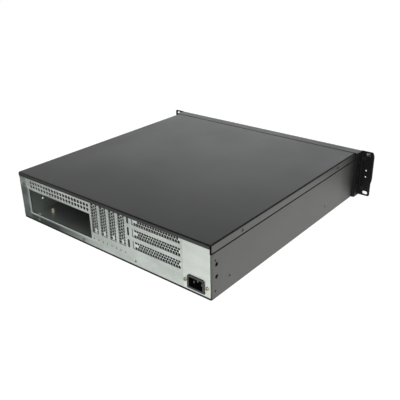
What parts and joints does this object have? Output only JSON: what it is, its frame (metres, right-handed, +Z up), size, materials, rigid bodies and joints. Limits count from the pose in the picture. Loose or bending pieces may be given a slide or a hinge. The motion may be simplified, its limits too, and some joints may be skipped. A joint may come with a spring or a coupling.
{
  "type": "rackmount server case",
  "caption": "Low, deep rackmount server case without a computer in it: black folded-steel case, bare zinc rear panel with slots and vents, rack ears and handles",
  "frame": {"origin": "middle of the object's footprint, on the surface it stands on", "axes": "+X to the right seen from the front, +Y to the rear, +Z up"},
  "size_m": [0.4826, 0.4856, 0.088],
  "materials": {
    "case_black": "semi-gloss black powder coat",
    "cover_black": "satin black powder coat",
    "panel_zinc": "bare zinc-plated sheet, dull",
    "slot_zinc": "bare zinc-plated sheet, dull",
    "screw_zinc": "zinc-plated",
    "screw_black": "black oxide",
    "screw_brass": "yellow passivated",
    "inlet_plastic": "satin black",
    "pin_metal": "nickel-plated",
    "front_black": "satin black powder coat",
    "ear_black": "satin black powder coat",
    "handle_black": "black anodised",
    "button_black": "satin",
    "switch_plastic": "matte",
    "lens_clear": "clear moulded",
    "port_metal": "nickel-plated",
    "board_green": "solder mask",
    "spacer_metal": "plain",
    "standoff_brass": "plain turned",
    "fan_plastic": "matte",
    "inner_zinc": "bare zinc-plated sheet, dull"
  },
  "bodies": {
    "case": {"base_tray": "case_black", "board_spacers": "spacer_metal", "board_standoffs": "standoff_brass", "controls_board": "board_green", "drive_cage": "inner_zinc", "ear_screws": "screw_black", "fan_frame_left": "fan_plastic", "fan_frame_right": "fan_plastic", "fan_wall": "inner_zinc", "front_bulkhead": "case_black", "front_panel": "front_black", "handle_left": "handle_black", "handle_right": "handle_black", "handle_screws": "screw_black", "inlet_housing": "inlet_plastic", "inlet_pins": "pin_metal", "inlet_screws": "screw_brass", "led_lenses": "lens_clear", "lying_slot_cover_1": "slot_zinc", "lying_slot_cover_2": "slot_zinc", "lying_slot_cover_3": "slot_zinc", "panel_screws": "screw_zinc", "psu_stop": "inner_zinc", "rack_ear_left": "ear_black", "rack_ear_right": "ear_black", "rear_panel": "panel_zinc", "riser_bracket": "inner_zinc", "slot_screws": "screw_zinc", "slot_shelf": "inner_zinc", "switches": "switch_plastic", "tongue_rail": "inner_zinc", "upright_slot_cover_1": "slot_zinc", "upright_slot_cover_2": "slot_zinc", "upright_slot_cover_3": "slot_zinc", "upright_slot_cover_4": "slot_zinc", "usb_port_left": "port_metal", "usb_port_right": "port_metal"},
    "cover": {"top_cover": "cover_black", "cover_screws": "screw_black"},
    "power_key": {"power_button": "button_black"},
    "reset_key": {"reset_button": "button_black"},
    "left_rotor": {"fan_rotor_left": "fan_plastic"},
    "right_rotor": {"fan_rotor_right": "fan_plastic"}
  },
  "joints": [
    {"name": "cover_lift", "type": "slide", "parent": "case", "child": "cover", "axis": [0, 0, 1], "range_m": [0, 0.1]},
    {"name": "power_press", "type": "slide", "parent": "case", "child": "power_key", "axis": [0, 1, 0], "range_m": [0, 0.0012], "stiffness_N_per_m": 1500, "springref_m": -0.0004},
    {"name": "reset_press", "type": "slide", "parent": "case", "child": "reset_key", "axis": [0, 1, 0], "range_m": [0, 0.0012], "stiffness_N_per_m": 1200, "springref_m": -0.0004},
    {"name": "left_fan_spin", "type": "hinge", "parent": "case", "child": "left_rotor", "pos_m": [0.038, -0.0363, 0.0422], "axis": [0, 1, 0], "continuous": true},
    {"name": "right_fan_spin", "type": "hinge", "parent": "case", "child": "right_rotor", "pos_m": [0.128, -0.0363, 0.0422], "axis": [0, 1, 0], "continuous": true}
  ]
}
